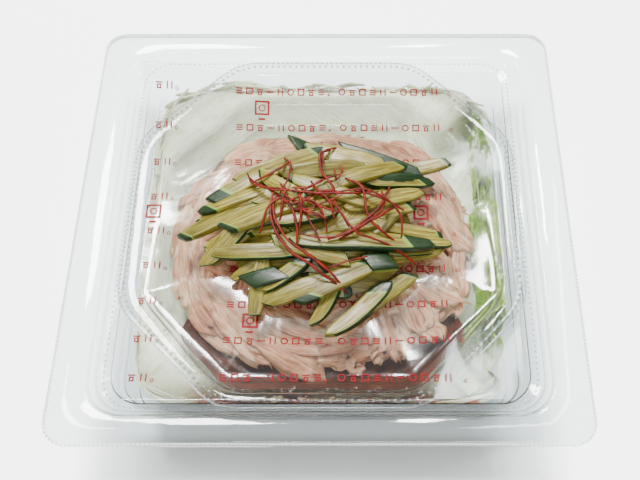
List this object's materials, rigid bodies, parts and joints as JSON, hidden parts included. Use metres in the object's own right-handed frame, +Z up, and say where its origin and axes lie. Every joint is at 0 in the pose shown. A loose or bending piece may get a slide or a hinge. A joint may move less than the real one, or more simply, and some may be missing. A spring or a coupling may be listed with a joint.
{
  "type": "bento box meal",
  "caption": "Clear lidless salad pack: base with a wide flange, eight-sided inner tray with sauce and shredded chicken, printed film, cucumber sticks and chili threads on top.",
  "frame": {"origin": "centre of the underside of the pack, on the surface it stands on", "axes": "+Z up, +X along the long side of the flange to the right, -Y towards the near side"},
  "size_m": [0.18, 0.17, 0.0597],
  "materials": {
    "clear_base": "clear, glossy, formed sheet",
    "clear_tray": "clear, glossy, formed sheet",
    "cabbage": "moist, pale shreds",
    "lettuce": "moist leaf, thin and slightly see-through",
    "carrot": "moist shreds",
    "sauce": "glossy, dark, slightly see-through",
    "chicken": "moist, fibrous",
    "film": "clear, very glossy, with red printed shapes",
    "cucumber": "moist flesh with dark green skin",
    "chili": "dry, slightly glossy threads"
  },
  "bodies": {
    "root": {"base_container": "clear_base", "inner_tray": "clear_tray", "cabbage_bed": "cabbage", "lettuce": "lettuce", "carrot_shreds": "carrot", "sauce_layer": "sauce", "chicken": "chicken", "film_sheet": "film", "cucumber_sticks": "cucumber", "chili_threads": "chili"}
  },
  "joints": []
}
